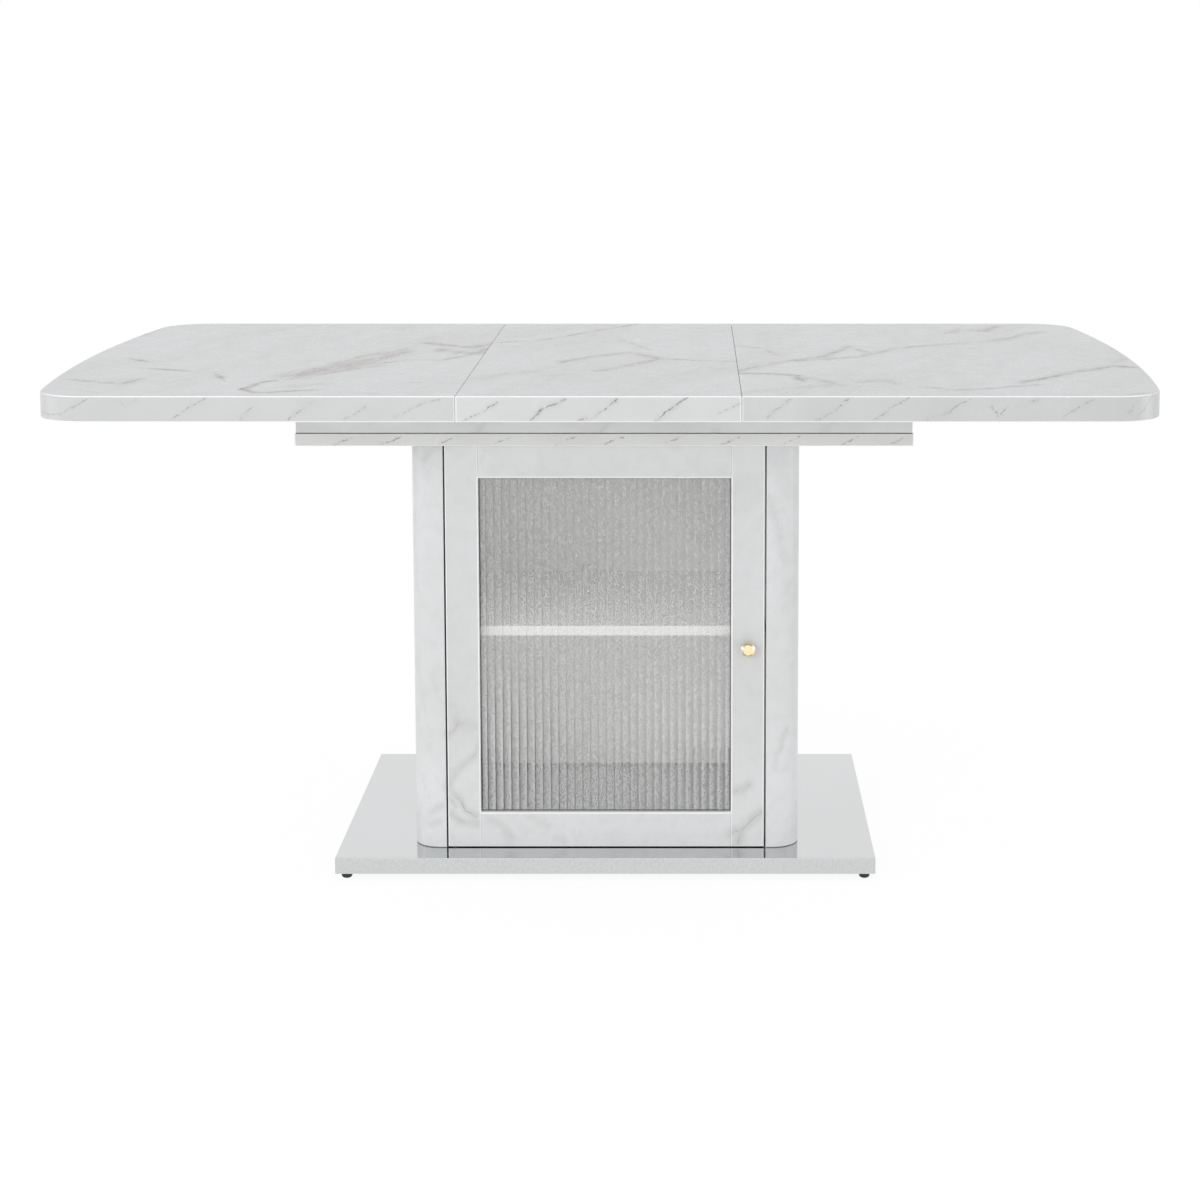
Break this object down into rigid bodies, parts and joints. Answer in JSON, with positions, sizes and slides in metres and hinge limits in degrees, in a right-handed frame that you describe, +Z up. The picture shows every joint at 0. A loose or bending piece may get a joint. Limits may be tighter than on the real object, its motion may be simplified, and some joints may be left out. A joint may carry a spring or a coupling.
{
  "type": "extending pedestal table",
  "caption": "Marble-look extending dining table with a lift-out leaf and bowed ends, on a cabinet pedestal with a reeded-glass door and a steel base plate.",
  "frame": {"origin": "on the floor, under the middle of the table", "axes": "+X along the length of the top, -Y towards the cabinet door, +Z up"},
  "size_m": [1.6078, 0.9, 0.75],
  "materials": {
    "marble_top": "fibreboard with a glossy white marble-look face",
    "marble_edge": "glossy marble-look edge strip",
    "marble_board": "fibreboard wrapped in white marble-look film",
    "core_board": "raw fibreboard",
    "runner_wood": "planed softwood",
    "dowel_wood": "fluted beech dowel",
    "polished_steel": "polished stainless sheet",
    "zinc_steel": "bright zinc plate",
    "gold_metal": "satin gold",
    "reeded_glass": "clear glass with upright flutes",
    "black_plastic": "black moulded nylon",
    "white_plastic": "white moulded nylon",
    "felt": "pressed felt"
  },
  "bodies": {
    "base": {"left_side_panel": "marble_board", "right_side_panel": "marble_board", "back_panel": "marble_board", "left_lining_panel": "marble_board", "right_lining_panel": "marble_board", "shelf": "marble_board", "support_board": "marble_board", "front_frame_rail": "marble_board", "back_frame_rail": "marble_board", "left_end_rail": "marble_board", "right_end_rail": "marble_board", "base_core": "core_board", "base_shell": "polished_steel", "feet": "black_plastic", "lower_pivot_bush": "black_plastic", "upper_pivot_bush": "black_plastic", "left_front_channel": "zinc_steel", "left_back_channel": "zinc_steel", "right_front_channel": "zinc_steel", "right_back_channel": "zinc_steel", "channel_screws": "zinc_steel", "shelf_pins": "zinc_steel", "base_bolts": "zinc_steel", "board_screws": "zinc_steel", "corner_brackets": "zinc_steel", "bracket_screws": "zinc_steel", "frame_pads": "felt", "magnetic_catch": "white_plastic"},
    "door": {"door_left_stile": "marble_board", "door_right_stile": "marble_board", "door_top_rail": "marble_board", "door_bottom_rail": "marble_board", "glazing_beads": "marble_board", "door_glass": "reeded_glass", "door_dowels": "dowel_wood", "door_knob": "gold_metal", "knob_screw": "zinc_steel", "lower_pivot_pin": "zinc_steel", "upper_pivot_pin": "zinc_steel", "strike_plate": "zinc_steel", "pivot_washer": "black_plastic"},
    "left_top": {"left_top_panel": "marble_top", "left_top_edge": "marble_edge", "left_front_runner": "runner_wood", "left_back_runner": "runner_wood", "left_front_slide": "zinc_steel", "left_back_slide": "zinc_steel", "left_top_screws": "zinc_steel"},
    "right_top": {"right_top_panel": "marble_top", "right_top_edge": "marble_edge", "right_front_runner": "runner_wood", "right_back_runner": "runner_wood", "right_front_slide": "zinc_steel", "right_back_slide": "zinc_steel", "right_top_screws": "zinc_steel"},
    "leaf": {"leaf_panel": "marble_top", "leaf_edges": "marble_edge", "leaf_battens": "runner_wood", "leaf_screws": "zinc_steel"}
  },
  "joints": [
    {"name": "left_top_slide", "type": "slide", "parent": "base", "child": "left_top", "axis": [-1, 0, 0], "range_m": [0, 0.04]},
    {"name": "right_top_slide", "type": "slide", "parent": "base", "child": "right_top", "axis": [1, 0, 0], "range_m": [0, 0.04]},
    {"name": "leaf_lift", "type": "slide", "parent": "base", "child": "leaf", "axis": [0, 0, 1], "range_m": [0, 0.15]},
    {"name": "door_hinge", "type": "hinge", "parent": "base", "child": "door", "pos_m": [-0.2267, -0.212, 0.341], "axis": [0, 0, -1], "range_deg": [0, 100]}
  ]
}
